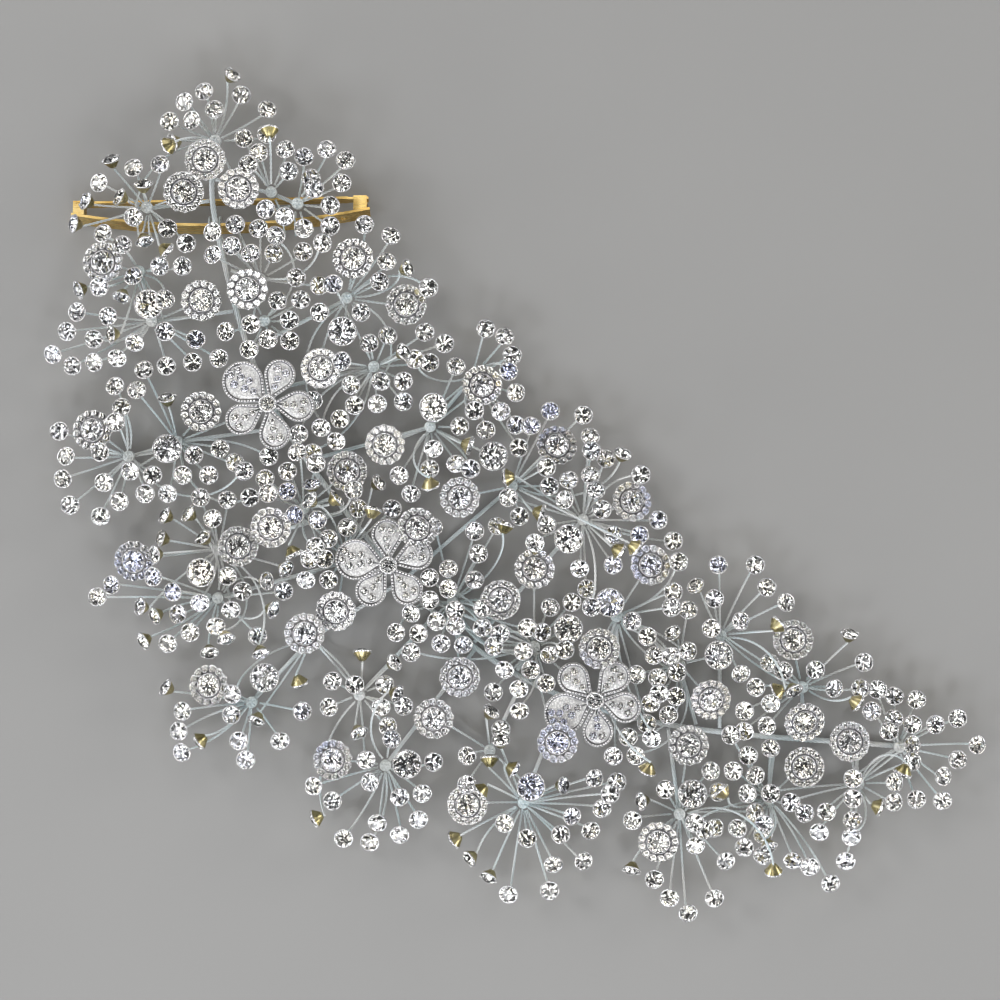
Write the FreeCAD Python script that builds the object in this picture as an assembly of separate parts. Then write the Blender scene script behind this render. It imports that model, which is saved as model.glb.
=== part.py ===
"""Bridal hair clip: rhinestones on twisted wire twigs, wired to a rolled spring barrette.

Millimetres, +Z up. The clip lies flat with its stones facing up.
Every sub-part is written to parts/NAME.step.
"""
import math
import os
import random

import FreeCAD
import Part

Vector = FreeCAD.Vector

# ---- sizes (mm) ----
WIRE_R = 0.4            # twisted pair that carries one stone
STEM_R = 0.6            # wound stem that carries one joint
SPINE_R = 0.8           # wound main wire
COLLAR_R = 1.6          # wrapped collar where twigs leave a stem
COLLAR_LOW = 1.64
COLLAR_HIGH = 4.6
STONE_R = 2.2           # small stone
SOLITAIRE_R = 3.55      # large single stone
ROSETTE_STONE_R = 2.85
ROSETTE_R = 5.7
RING_R = 4.5            # circle of the rosette's small stones
RING_COUNT = 13
RING_STONE_R = 0.8
CUP_WALL = 0.42         # a cup's rim, which its claws stand on
FLOWER_STONE_R = 1.75
FIT_GAP = 0.03          # between parts that are set, soldered or wound together
CLEAR = 0.12            # between parts that only pass each other
SEED = 7

# ---- barrette (mm, degrees) ----
BAR_LENGTH = 80.0
BAR_WIDTH = 5.2
BAR_THICK = 0.8
BAR_BOW = 4.0           # how far the ends drop below the middle
BAR_ROLL = 70.0         # rolled about its length, so it is seen nearly edge on
ARM_THICK = 0.7
ARM_WIDTH = 2.8
ARM_DROP = 3.0          # from the bar's ends down to the arm
PIN_R = 0.8
EYE_R = 1.6
EAR_THICK = 0.6
BAR_CENTRE = (58.0, 190.0)
BAR_TURN = 1.1          # degrees from the X axis
ARM_FLOOR = 0.3         # lowest point of the closed arm above the resting plane

# ---- how the vine rises over the barrette ----
LIFT = 9.0
LIFT_FLAT = 9.0         # full lift this near the bar
LIFT_FADE = 52.0        # and none this far away

# ---- layout sheet: x to the right, y up, whole millimetres ----
SPINE = [(57, 211), (56, 200), (59, 182), (64, 162), (72, 142), (86, 121), (104, 99),
         (123, 80), (146, 66), (172, 58), (200, 54), (240, 51)]

# Each branch has the joints its twigs leave from, with the spine point each stem comes
# from, then what it carries. "turned" stones stand nearly on edge, and "over" stones
# show the gilt back of their cups.
BRANCHES = {
    "crown": {
        "joints": [((57, 213), None), ((39, 195), (56, 197))],
        "rosettes": [(55, 207), (50, 198), (63, 200)],
        "stones": [(49, 223), (54, 226), (57, 221), (64, 225), (71, 221), (51, 218), (46, 217), (48, 205),
                   (71, 214), (36, 205), (27, 201), (43, 206), (45, 189), (50, 185), (36, 192)],
        "turned": [(61, 229), (47, 213), (31, 206), (24, 196), (33, 197), (39, 201), (21, 190), (39, 186)],
        "over": [(45, 210), (45, 183)],
    },
    "upper_right": {
        "joints": [((72, 199), (56, 203)), ((79, 196), (72, 199))],
        "stones": [(65, 213), (69, 209), (76, 210), (81, 208), (87, 210), (92, 207), (91, 201), (67, 205),
                   (77, 204), (82, 203), (76, 192), (88, 195), (89, 190), (71, 194), (81, 189), (84, 199)],
        "over": [(72, 213)],
    },
    "left_fan": {
        "joints": [((40, 165), (63, 168)), ((37, 178), (40, 165))],
        "rosettes": [(28, 180), (54, 170)],
        "solitaires": [(40, 169)],
        "stones": [(21, 167), (29, 166), (18, 162), (14, 156), (19, 153), (25, 160), (25, 155), (31, 155),
                   (36, 159), (44, 162), (52, 160), (35, 176), (43, 179), (49, 179), (45, 170), (29, 187),
                   (34, 184), (28, 173), (44, 153), (51, 154), (58, 155)],
        "turned": [(22, 173), (31, 161), (32, 171), (38, 181), (45, 174)],
    },
    "centre_fan": {
        "joints": [((69, 176), (60, 179)), ((70, 165), (64, 162))],
        "rosettes": [(66, 173)],
        "stones": [(57, 188), (63, 190), (69, 189), (57, 182), (61, 184), (66, 182), (72, 182), (75, 187),
                   (81, 184), (87, 184), (74, 170), (67, 165), (77, 165), (78, 160), (60, 162), (65, 157),
                   (71, 159), (79, 176), (85, 174), (79, 170)],
        "over": [(62, 178)],
    },
    "right_fan": {
        "joints": [((92, 171), (66, 158)), ((99, 153), (70, 147))],
        "rosettes": [(94, 181), (108, 169), (84, 152)],
        "solitaires": [(91, 162)],
        "stones": [(97, 190), (104, 187), (102, 181), (101, 175), (85, 167), (89, 174), (96, 167), (114, 173),
                   (113, 163), (103, 161), (98, 159), (91, 154), (93, 148), (101, 149), (114, 154), (118, 159),
                   (107, 149), (100, 143), (108, 144), (95, 143), (90, 139), (86, 137), (79, 135), (89, 133),
                   (83, 131), (83, 144)],
        "turned": [(108, 178), (107, 156)],
        "over": [(103, 154), (104, 140)],
    },
    "left_tier": {
        "joints": [((46, 133), (75, 137)), ((33, 129), (46, 133))],
        "rosettes": [(53, 141), (24, 136)],
        "solitaires": [(44, 131)],
        "flowers": [((71, 143), (67, 139, 211, 283, 355), 1)],
        "stones": [(16, 135), (17, 129), (27, 130), (31, 138), (16, 123), (18, 116), (27, 122), (31, 117),
                   (26, 113), (34, 125), (40, 124), (38, 119), (44, 119), (48, 124), (50, 129), (55, 124),
                   (58, 131), (61, 127), (65, 125), (71, 129), (66, 118), (38, 152), (37, 147), (31, 147),
                   (32, 142)],
        "turned": [(44, 144)],
    },
    "lower_left": {
        "joints": [((57, 104), (91, 114)), ((57, 91), (100, 103))],
        "rosettes": [(35, 101), (63, 105)],
        "solitaires": [(53, 98)],
        "stones": [(53, 118), (55, 112), (59, 117), (30, 95), (41, 97), (27, 92), (46, 94), (60, 97), (47, 88),
                   (44, 79), (50, 82), (53, 91), (61, 88), (58, 84), (68, 81), (64, 93), (75, 93)],
        "turned": [(44, 114), (49, 113), (43, 108), (42, 103), (54, 107), (42, 86), (38, 80), (60, 81),
                   (69, 76), (55, 76), (71, 95), (75, 98), (71, 88), (38, 89)],
        "over": [(66, 87)],
    },
    "middle": {
        "joints": [((80, 115), (88, 118)), ((91, 103), (99, 105))],
        "rosettes": [(72, 110), (92, 125), (90, 88), (111, 110)],
        "flowers": [((103, 100), (20, 92, 170, 236, 308), 2)],
        "stones": [(70, 123), (76, 125), (77, 120), (71, 118), (77, 113), (79, 130), (84, 127), (84, 112),
                   (94, 120), (95, 115), (104, 115), (92, 110), (87, 107), (87, 102), (83, 101), (81, 96),
                   (87, 96), (84, 105)],
        "turned": [(83, 122), (83, 117), (101, 122)],
        "over": [(88, 117), (98, 120), (99, 114), (79, 104)],
    },
    "inner_right": {
        "joints": [((114, 137), (81, 128)), ((125, 150), (114, 137))],
        "rosettes": [(128, 148), (102, 132)],
        "solitaires": [(115, 142), (131, 129)],
        "stones": [(129, 163), (134, 161), (136, 156), (134, 151), (137, 146), (121, 153), (126, 141), (111, 154),
                   (133, 141), (136, 137), (129, 136), (137, 132), (115, 131), (115, 126), (121, 127), (126, 126),
                   (106, 125), (109, 119), (106, 114), (122, 137)],
        "over": [(124, 132), (115, 121)],
    },
    "right_tier": {
        "joints": [((136, 121), (107, 96)), ((155, 112), (125, 78))],
        "rosettes": [(148, 132), (122, 118), (168, 117)],
        "solitaires": [(151, 107)],
        "stones": [(141, 137), (146, 140), (155, 140), (156, 135), (156, 130), (157, 125), (145, 126), (146, 121),
                   (152, 122), (149, 117), (135, 118), (138, 113), (160, 128), (170, 124), (158, 120), (160, 116),
                   (163, 108), (170, 108), (175, 112), (178, 106), (142, 106), (146, 110), (154, 99), (163, 100),
                   (157, 94), (157, 89)],
        "turned": [(165, 128)],
        "over": [(134, 123), (143, 114), (164, 104), (168, 105)],
    },
    "low_middle": {
        "joints": [((120, 90), (114, 89)), ((142, 78), (137, 71))],
        "rosettes": [(142, 99), (134, 91), (122, 70), (148, 53)],
        "solitaires": [(151, 83)],
        "flowers": [((158, 64), (-13, 50, 134, 203, 275), 3)],
        "stones": [(115, 110), (126, 109), (131, 110), (127, 103), (119, 99), (120, 94), (126, 96), (115, 97),
                   (115, 91), (121, 89), (116, 86), (109, 87), (112, 82), (121, 84), (127, 83), (129, 88),
                   (133, 83), (139, 83), (144, 82), (146, 76), (139, 77), (141, 72), (134, 72), (138, 68),
                   (131, 66), (144, 68), (138, 61), (117, 79), (124, 79), (130, 78), (110, 77), (105, 82),
                   (105, 77), (152, 90), (147, 88), (151, 78)],
        "over": [(134, 110), (123, 100), (154, 87)],
    },
    "bottom_left": {
        "joints": [((82, 80), (107, 96)), ((66, 63), (82, 80)), ((95, 65), (116, 87)), ((102, 46), (126, 77)),
                   ((139, 36), (150, 64)), ((130, 50), (139, 69))],
        "rosettes": [(81, 82), (55, 68), (115, 59), (88, 48), (124, 36)],
        "solitaires": [(70, 70), (108, 47), (141, 41)],
        "stones": [(48, 61), (62, 66), (61, 60), (48, 56), (48, 51), (63, 53), (65, 49), (74, 53), (80, 61),
                   (88, 69), (94, 68), (87, 62), (102, 68), (101, 62), (106, 62), (103, 58), (104, 54),
                   (97, 48), (98, 42), (83, 41), (88, 37), (91, 27), (100, 31), (98, 26), (106, 28), (106, 38),
                   (112, 39), (111, 32), (114, 47), (133, 56), (124, 49), (124, 42), (134, 31), (140, 27),
                   (135, 12), (146, 13), (147, 20), (155, 21), (149, 28), (152, 33), (157, 29), (160, 35),
                   (158, 43), (164, 42), (161, 39)],
        "turned": [(44, 67), (68, 59), (105, 73), (105, 66), (96, 56), (133, 53), (125, 45), (149, 40),
                   (130, 17), (125, 22), (131, 60)],
        "over": [(52, 53), (79, 69), (85, 33), (96, 76), (131, 48), (136, 46), (128, 41), (121, 27)],
    },
    "right_low": {
        "joints": [((164, 86), (160, 62)), ((181, 73), (186, 56))],
        "rosettes": [(173, 100), (159, 78), (189, 64)],
        "solitaires": [(162, 90), (191, 76)],
        "stones": [(180, 101), (179, 94), (168, 85), (172, 81), (178, 89), (183, 88), (174, 77), (178, 76),
                   (183, 77), (175, 71), (179, 71), (170, 70), (175, 66), (180, 66), (173, 63), (178, 61),
                   (173, 58), (167, 54), (163, 49), (169, 49), (173, 54)],
        "turned": [(178, 81)],
        "over": [(165, 84), (175, 85), (179, 84), (172, 46), (176, 49)],
    },
    "tail": {
        "joints": [((192, 81), (192, 55)), ((214, 67), (215, 53)), ((240, 51), None), ((205, 37), (207, 53)),
                   ((229, 41), (229, 52)), ((181, 33), (178, 57))],
        "rosettes": [(183, 52), (211, 80), (214, 58), (226, 53), (214, 46), (175, 26)],
        "solitaires": [(184, 39)],
        "stones": [(190, 91), (191, 100), (201, 100), (204, 94), (209, 90), (197, 85), (189, 82), (205, 75),
                   (197, 71), (208, 72), (200, 67), (198, 61), (205, 63), (204, 57), (199, 56), (194, 55),
                   (198, 50), (205, 51), (189, 45), (195, 45), (201, 45), (217, 72), (222, 67), (229, 67),
                   (233, 67), (238, 65), (244, 64), (232, 61), (238, 60), (236, 56), (242, 57), (243, 53),
                   (248, 57), (242, 48), (255, 59), (260, 52), (255, 48), (252, 44), (251, 37), (238, 42),
                   (239, 37), (243, 37), (227, 43), (228, 38), (220, 34), (227, 33), (215, 33), (219, 29),
                   (226, 28), (205, 39), (210, 37), (199, 40), (201, 35), (202, 32), (203, 28), (199, 25),
                   (202, 22), (197, 29), (191, 29), (188, 29), (211, 21), (215, 20), (221, 15), (225, 21),
                   (193, 21), (190, 11), (183, 7), (178, 11), (174, 16), (169, 31), (185, 25), (184, 31),
                   (177, 40), (190, 39), (230, 74)],
        "turned": [(185, 93), (226, 81), (211, 68), (205, 26), (168, 19), (171, 37)],
        "over": [(206, 84), (206, 66), (228, 63), (239, 45), (233, 36), (223, 39), (205, 21), (193, 40)],
    },
}

TILTS = {"stones": 15.0, "turned": 62.0, "over": 108.0, "solitaires": 12.0, "rosettes": 12.0, "flowers": 0.0}
LOWEST = {"stones": 4.8, "turned": 4.6, "over": 5.0, "solitaires": 5.2, "rosettes": 6.4, "flowers": 10.5}
STEP_UP = 0.8
MOST_STEPS = 13
NUDGES = [(0.0, 0.0)] + [(1.1 * math.cos(math.radians(a)), 1.1 * math.sin(math.radians(a)))
                         for a in range(20, 380, 60)]

# how far a setting reaches below and above its stone's girdle, and its radius
BODY = {
    "stones": (2.26, 0.92, STONE_R + CUP_WALL),
    "solitaires": (3.37, 1.45, SOLITAIRE_R + CUP_WALL),
    "rosettes": (1.6, 2.1, ROSETTE_R),
}
PETAL_DISCS = [(3.4, 0.3), (6.2, 0.42), (8.7, 0.54)]    # centre along the petal, radius over its width
TWIG_ROWS = [2.15, 3.05, 3.95, 4.8]
TWIG_BOWS = [0.0, 0.04, -0.04, 0.08, -0.08, 0.13, -0.13, 0.19, -0.19, 0.26, -0.26]
TWIG_DIPS = [0.1, 0.04, 0.17, -0.03, 0.24]
TWIG_SAMPLE = 0.5
NEAREST_JOINT = 5.5


# ---- faceted stones ----

def ring_points(radius, height, sides, turn=0.0):
    points = []
    for k in range(sides):
        angle = 2 * math.pi * k / sides + turn
        points.append(Vector(radius * math.cos(angle), radius * math.sin(angle), height))
    return points


def flat_face(points):
    return Part.Face(Part.makePolygon(points + [points[0]]))


def band(lower, upper):
    faces = []
    for k in range(len(lower)):
        n = (k + 1) % len(lower)
        faces.append(flat_face([lower[k], lower[n], upper[n], upper[k]]))
    return faces


def fan(points, tip):
    faces = []
    for k in range(len(points)):
        faces.append(flat_face([points[k], points[(k + 1) % len(points)], tip]))
    return faces


def faceted_stone(radius, sides=8):
    """A round stone: table, crown, girdle and pavilion, with the girdle's foot at z = 0."""
    girdle = 0.07 * radius
    table = ring_points(0.58 * radius, 0.34 * radius + girdle, sides)
    top = ring_points(radius, girdle, sides)
    foot = ring_points(radius, 0.0, sides)
    culet = Vector(0, 0, -0.82 * radius)
    faces = [flat_face(table)] + band(top, table) + band(foot, top) + fan(foot, culet)
    return Part.Solid(Part.makeShell(faces))


def button_stone(radius, sides=6):
    """A small flat-backed stone that stands on z = 0."""
    base = ring_points(radius, 0.0, sides)
    table = ring_points(0.6 * radius, 0.75 * radius, sides)
    faces = [flat_face(base), flat_face(table)] + band(base, table)
    return Part.Solid(Part.makeShell(faces))


# ---- settings ----

def turned_solid(profile):
    """A solid of revolution about Z from (radius, height) points."""
    points = [Vector(r, 0, z) for r, z in profile]
    return flat_face(points).revolve(Vector(0, 0, 0), Vector(0, 0, 1), 360)


def claw_cup(radius):
    """A conical cup whose rim carries four claws, between the corners of an eight-sided stone."""
    depth = 0.82 * radius
    rim = 0.1
    cup = turned_solid([
        (0, -depth - 0.45), (0.42 * radius, -depth - 0.45), (radius + CUP_WALL, 0.0), (radius + CUP_WALL, rim),
        (radius + FIT_GAP, rim), (radius + FIT_GAP, -0.02), (0.12 * radius, -depth - 0.05), (0, -depth - 0.05),
    ])
    claw_r = 0.45 * (CUP_WALL - FIT_GAP)
    for k in range(4):
        angle = math.radians(22.5 + 90 * k)
        reach = radius + (CUP_WALL + FIT_GAP) / 2
        foot = Vector(reach * math.cos(angle), reach * math.sin(angle), rim)
        cup = cup.fuse(Part.makeCylinder(claw_r, 0.24 * radius, foot))
    return cup


def rosette_plate():
    """A round plate with a raised seat for the centre stone and a ring of small seats."""
    depth = 0.82 * ROSETTE_STONE_R
    seat = ROSETTE_STONE_R + FIT_GAP
    deck = -0.6
    plate = turned_solid([
        (0, -depth - 0.5), (1.5, -depth - 0.5), (2.9, -1.5), (ROSETTE_R - 0.5, -1.5), (ROSETTE_R - 0.1, deck),
        (seat + 0.3, deck), (seat + 0.3, 0.1), (seat, 0.1), (seat, -0.02), (0.4, -depth - 0.05),
        (0, -depth - 0.05),
    ])
    bead_seat = Part.makeCylinder(RING_STONE_R + 0.2, 0.5).cut(
        Part.makeCylinder(RING_STONE_R + FIT_GAP, 0.5, Vector(0, 0, 0.2)))
    for k in range(RING_COUNT):
        angle = 2 * math.pi * k / RING_COUNT
        seat_here = bead_seat.copy()
        seat_here.translate(Vector(RING_R * math.cos(angle), RING_R * math.sin(angle), deck))
        plate = plate.fuse(seat_here)
    return plate


def ring_stone(k):
    """The k-th small stone of a rosette's ring, in the rosette's frame."""
    angle = 2 * math.pi * k / RING_COUNT
    stone = button_stone(RING_STONE_R)
    stone.translate(Vector(RING_R * math.cos(angle), RING_R * math.sin(angle), -0.4 + FIT_GAP))
    return stone


# ---- flowers ----

def petal_face(start, length, width, height):
    """A teardrop: a point at start, a round end at length, seen from above."""
    radius = width / 2
    far = length - radius
    half = math.asin(radius / (far - start))
    side = (far - start) * math.cos(half)
    left = Vector(start + side * math.cos(half), side * math.sin(half), height)
    right = Vector(left.x, -left.y, height)
    tip = Vector(start, 0, height)
    edges = [
        Part.makeLine(tip, right),
        Part.Arc(right, Vector(length, 0, height), left).toShape(),
        Part.makeLine(left, tip),
    ]
    return Part.Face(Part.Wire(edges))


def petal(length, width):
    """One petal along X: a shallow tray inside a raised rim."""
    body = petal_face(0.6, length, width, -0.5).extrude(Vector(0, 0, 1.3))
    tray = petal_face(2.6, length - 0.8, width - 1.7, 0.4).extrude(Vector(0, 0, 1.0))
    return body.cut(tray)


def petal_sizes(flower, k):
    """(length, width) of a flower's k-th petal. One petal of each flower is larger."""
    _, _, large = flower
    return (14.4, 11.2) if k == large else (12.6, 8.4 + 0.3 * (k % 2))


def flower_casting(flower):
    _, bearings, _ = flower
    body = turned_solid([
        (0, -1.5), (1.3, -1.5), (2.5, -0.5), (2.5, 1.2), (FLOWER_STONE_R + 0.05, 1.2),
        (FLOWER_STONE_R + 0.05, 1.05), (0.2, -0.5), (0, -0.5),
    ])
    for k, bearing in enumerate(bearings):
        leaf = petal(*petal_sizes(flower, k))
        leaf.rotate(Vector(0, 0, 0), Vector(0, 0, 1), bearing)
        bowl = Part.makeCylinder(2.45, 3.0, Vector(0, 0, -0.6))
        body = body.fuse(leaf.cut(bowl))
    return body


def pave_spots(length, width):
    """Where a petal's small stones sit, along and across the petal, with their sizes."""
    if width > 10:
        return [(4.9, 0.0, 0.8), (7.2, 1.0, 0.9), (7.6, -1.35, 0.85), (10.0, 2.0, 0.95), (9.9, -0.6, 0.9),
                (11.9, -1.6, 0.85), (12.4, 0.75, 0.9)]
    return [(4.8, 0.0, 0.72), (7.0, 0.1, 0.85), (9.3, -1.25, 0.9), (9.6, 1.2, 0.9)]


def flower_pave(flower):
    stones = []
    _, bearings, _ = flower
    for k, bearing in enumerate(bearings):
        for along, across, size in pave_spots(*petal_sizes(flower, k)):
            stone = button_stone(size)
            stone.translate(Vector(along, across, 0.4 + FIT_GAP))
            stone.rotate(Vector(0, 0, 0), Vector(0, 0, 1), bearing)
            stones.append(stone)
    return stones


# ---- wires ----

def straight_wire(start, end, radius):
    way = end - start
    return Part.makeCylinder(radius, way.Length, start, way)


def bent_wire(start, middle, end, radius):
    """A round wire along the circular arc through three points."""
    a, b = middle - start, end - start
    normal = a.cross(b)
    if normal.Length < 1e-3 * b.Length * b.Length:
        return straight_wire(start, end, radius)
    arc = Part.Arc(start, middle, end).toShape()
    centre, axis = arc.Curve.Center, arc.Curve.Axis
    sweep = math.degrees(arc.LastParameter - arc.FirstParameter)
    out = start - centre
    tangent = axis.cross(out)
    disc = Part.Face(Part.Wire(Part.makeCircle(radius, start, tangent)))
    return disc.revolve(centre, axis, sweep)


def arc_points(start, middle, end):
    """Points along the arc through three points, TWIG_SAMPLE apart."""
    chord = (end - start).Length
    count = max(4, int(1.15 * chord / TWIG_SAMPLE))
    a, b = middle - start, end - start
    normal = a.cross(b)
    if normal.Length < 1e-3 * b.Length * b.Length:
        return [start + b * (k / count) for k in range(count + 1)]
    arc = Part.Arc(start, middle, end)
    low, high = arc.FirstParameter, arc.LastParameter
    return [arc.value(low + (high - low) * k / count) for k in range(count + 1)]


# ---- the vine's height over the barrette ----

def bar_distance(x, y):
    turn = math.radians(BAR_TURN)
    dx, dy = x - BAR_CENTRE[0], y - BAR_CENTRE[1]
    along = dx * math.cos(turn) + dy * math.sin(turn)
    across = dy * math.cos(turn) - dx * math.sin(turn)
    past = max(0.0, abs(along) - BAR_LENGTH / 2)
    return math.hypot(past, across)


def lift_at(x, y):
    away = (bar_distance(x, y) - LIFT_FLAT) / (LIFT_FADE - LIFT_FLAT)
    away = min(1.0, max(0.0, away))
    return LIFT * (1 - away * away * (3 - 2 * away))


def on_sheet(point, height):
    x, y = point
    return Vector(x, y, lift_at(x, y) + height)


# ---- keeping clear ----

class Space:
    """What is already placed: upright cylinders, balls and wire samples, in a plan grid."""

    CELL = 4.0

    def __init__(self):
        self.drums = {}
        self.beads = {}

    def cells(self, x, y, reach):
        low_x, high_x = int((x - reach) // self.CELL), int((x + reach) // self.CELL)
        low_y, high_y = int((y - reach) // self.CELL), int((y + reach) // self.CELL)
        for i in range(low_x, high_x + 1):
            for j in range(low_y, high_y + 1):
                yield i, j

    def add_drum(self, drum):
        x, y, radius = drum[0], drum[1], drum[2]
        for cell in self.cells(x, y, radius):
            self.drums.setdefault(cell, []).append(drum)

    def add_wire(self, points, radius, owner):
        for p in points:
            cell = int(p.x // self.CELL), int(p.y // self.CELL)
            self.beads.setdefault(cell, []).append((p.x, p.y, p.z, radius, owner))

    def drum_is_clear(self, drum):
        x, y, radius, low, high, _ = drum
        for cell in self.cells(x, y, radius + CLEAR):
            for other in self.drums.get(cell, ()):
                if low < other[4] + CLEAR and high > other[3] - CLEAR:
                    if math.hypot(x - other[0], y - other[1]) < radius + other[2] + CLEAR:
                        return False
        for cell in self.cells(x, y, radius + 1.0):
            for bead in self.beads.get(cell, ()):
                if low < bead[2] + bead[3] + CLEAR and high > bead[2] - bead[3] - CLEAR:
                    if math.hypot(x - bead[0], y - bead[1]) < radius + bead[3] + CLEAR:
                        return False
        return True

    def wire_is_clear(self, points, radius, owner):
        for p in points:
            for cell in self.cells(p.x, p.y, radius + 1.0):
                for x, y, z, other, who in self.beads.get(cell, ()):
                    room = radius + other + CLEAR
                    if who != owner and (x - p.x) ** 2 + (y - p.y) ** 2 + (z - p.z) ** 2 < room * room:
                        return False
            for cell in self.cells(p.x, p.y, radius + CLEAR):
                for x, y, size, low, high, who in self.drums.get(cell, ()):
                    if who == owner or p.z < low - radius - CLEAR or p.z > high + radius + CLEAR:
                        continue
                    if math.hypot(x - p.x, y - p.y) < size + radius + CLEAR:
                        return False
        return True


# ---- placing what the twigs carry ----

class Tip:
    """One stone, solitaire, rosette or flower at the end of a twig."""

    def __init__(self, kind, branch, spot, joints, extra=None):
        self.kind = kind
        self.branch = branch
        self.spot = spot
        self.joints = joints
        self.extra = extra
        self.spin = 0.0
        self.normal = Vector(0, 0, 1)
        self.centre = None
        self.twig = None

    def body_kind(self):
        return "stones" if self.kind in ("turned", "over") else self.kind

    def set_tilt(self, rng):
        """Lean outward from the joint, by the kind's tilt, with a little spread."""
        joint = self.joints[0]
        out = math.atan2(self.spot[1] - joint[1], self.spot[0] - joint[0])
        out += math.radians(rng.uniform(-35, 35))
        spread = rng.uniform(0.8, 1.1) if self.kind in ("turned", "over") else rng.uniform(0.3, 1.6)
        tilt = math.radians(TILTS[self.kind] * spread)
        self.normal = Vector(math.sin(tilt) * math.cos(out), math.sin(tilt) * math.sin(out), math.cos(tilt))
        spin = rng.uniform(0, 90)
        self.spin = 0.0 if self.kind == "flowers" else spin

    def drums(self, height):
        """Upright cylinders around the setting, with its lowest point at the given height."""
        x, y = self.spot
        if self.kind == "flowers":
            drums = [(x, y, 2.6, height - 1.55, height + 2.2, self)]
            for k, bearing in enumerate(self.extra[1]):
                angle = math.radians(bearing)
                width = petal_sizes(self.extra, k)[1]
                for along, share in PETAL_DISCS:
                    drums.append((x + along * math.cos(angle), y + along * math.sin(angle), share * width,
                                  height - 0.55, height + 1.6, self))
            return drums
        below, above, radius = BODY[self.body_kind()]
        lean = math.sqrt(max(0.0, 1 - self.normal.z ** 2))
        if self.kind in ("turned", "over"):
            reach = 2.75
            return [(x, y, reach, height, height + 2 * reach, self)]
        spread = radius * lean
        return [(x, y, radius, height, height + below + above + 1.2 * spread, self)]

    def settle(self, height):
        """Fix the girdle centre for a setting whose lowest point is at the given height."""
        below, above, radius = BODY.get(self.body_kind(), (0, 0, 0))
        x, y = self.spot
        if self.kind == "flowers":
            self.centre = Vector(x, y, height)
        elif self.kind in ("turned", "over"):
            middle = Vector(x, y, height + 2.75)
            self.centre = middle + self.normal * 0.65
        else:
            lean = math.sqrt(max(0.0, 1 - self.normal.z ** 2))
            self.centre = Vector(x, y, height + below + 0.6 * radius * lean)

    def back(self):
        """Where the twig's end meets the back of the setting."""
        depth = {"flowers": 1.5, "rosettes": 0.82 * ROSETTE_STONE_R + 0.5,
                 "solitaires": 0.82 * SOLITAIRE_R + 0.45}.get(self.kind, 0.82 * STONE_R + 0.45)
        return self.centre - self.normal * (depth + WIRE_R + 2 * FIT_GAP)

    def outline(self):
        """(height, radius) steps of the setting below its girdle, from the back up."""
        if self.kind == "flowers":
            return [(-1.5, 1.4), (-1.0, 2.6), (-0.5, 6.0)]
        if self.kind == "rosettes":
            return [(-0.82 * ROSETTE_STONE_R - 0.5, 3.0), (-1.5, ROSETTE_R)]
        stone = SOLITAIRE_R if self.kind == "solitaires" else STONE_R
        depth = 0.82 * stone + 0.45
        shares = [0.0, 0.25, 0.5, 0.75, 1.0]
        return [(-depth * (1 - share), stone * (0.55 + 0.58 * share) + 0.06) for share in shares]

    def misses_own_setting(self, points):
        """Whether a twig keeps outside the setting that it carries."""
        for point in points:
            from_centre = point - self.centre
            height = from_centre.dot(self.normal)
            out = (from_centre - self.normal * height).Length
            for low, radius in self.outline():
                if low - WIRE_R - FIT_GAP < height < 1.6 and out < radius + WIRE_R + FIT_GAP:
                    return False
        return True


def nearest_joints(spot, joints):
    """The two nearest joints that leave room for a twig."""
    far_enough = [j for j in joints if math.dist(spot, j) >= NEAREST_JOINT]
    return sorted(far_enough or joints, key=lambda j: math.dist(spot, j))[:2]


def all_tips():
    rng = random.Random(SEED)
    tips = []
    for kind in ("flowers", "rosettes", "solitaires", "stones", "turned", "over"):
        for name, branch in BRANCHES.items():
            joints = [joint for joint, _ in branch["joints"]]
            for item in branch.get(kind, []):
                spot = item[0] if kind == "flowers" else item
                flower = item if kind == "flowers" else None
                tip = Tip(kind, name, spot, nearest_joints(spot, joints), flower)
                tip.set_tilt(rng)
                tips.append(tip)
    return tips


def place_tips(tips, space):
    """Give every tip the lowest height that is free. Returns the tips that found one."""
    rng = random.Random(SEED + 1)
    return [tip for tip in tips if place_tip(tip, space, rng)]


def place_tip(tip, space, rng):
    base = lift_at(*tip.spot) + LOWEST[tip.kind] + rng.uniform(0, 1.2)
    wanted = tip.spot
    for step in range(MOST_STEPS):
        for across, up in NUDGES:
            tip.spot = (wanted[0] + across, wanted[1] + up)
            drums = tip.drums(base + step * STEP_UP)
            if not all(space.drum_is_clear(drum) for drum in drums):
                continue
            tip.settle(base + step * STEP_UP)
            if any(run_twig(tip, joint, space, rng) for joint in tip.joints):
                for drum in drums:
                    space.add_drum(drum)
                return True
    return False


def run_twig(tip, root, space, rng):
    """Find a clear arc from a joint's collar to the tip's back, and keep it on the tip."""
    end = tip.back()
    joint = on_sheet(root, 0)
    way = Vector(end.x - joint.x, end.y - joint.y, 0)
    span = way.Length
    out = Vector(way.x / span, way.y / span, 0)
    across = Vector(-out.y, out.x, 0)
    hand = 1 if rng.random() < 0.5 else -1
    bows = [hand * bow for bow in TWIG_BOWS]
    for bow in bows:
        for row in TWIG_ROWS:
            for dip in TWIG_DIPS:
                lean = out + across * (2.2 * bow)
                lean.normalize()
                start = joint + lean * (COLLAR_R + WIRE_R + CLEAR + 0.01) + Vector(0, 0, row)
                middle = (start + end) * 0.5 + across * (bow * span) - Vector(0, 0, dip * span)
                floor = lift_at(middle.x, middle.y) * 0.9 + 0.5
                if middle.z < floor:
                    continue
                points = arc_points(start, middle, end)
                if tip.misses_own_setting(points) and space.wire_is_clear(points, WIRE_R, tip):
                    tip.twig = (start, middle, end)
                    space.add_wire(points, WIRE_R, tip)
                    return True
    return False


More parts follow.
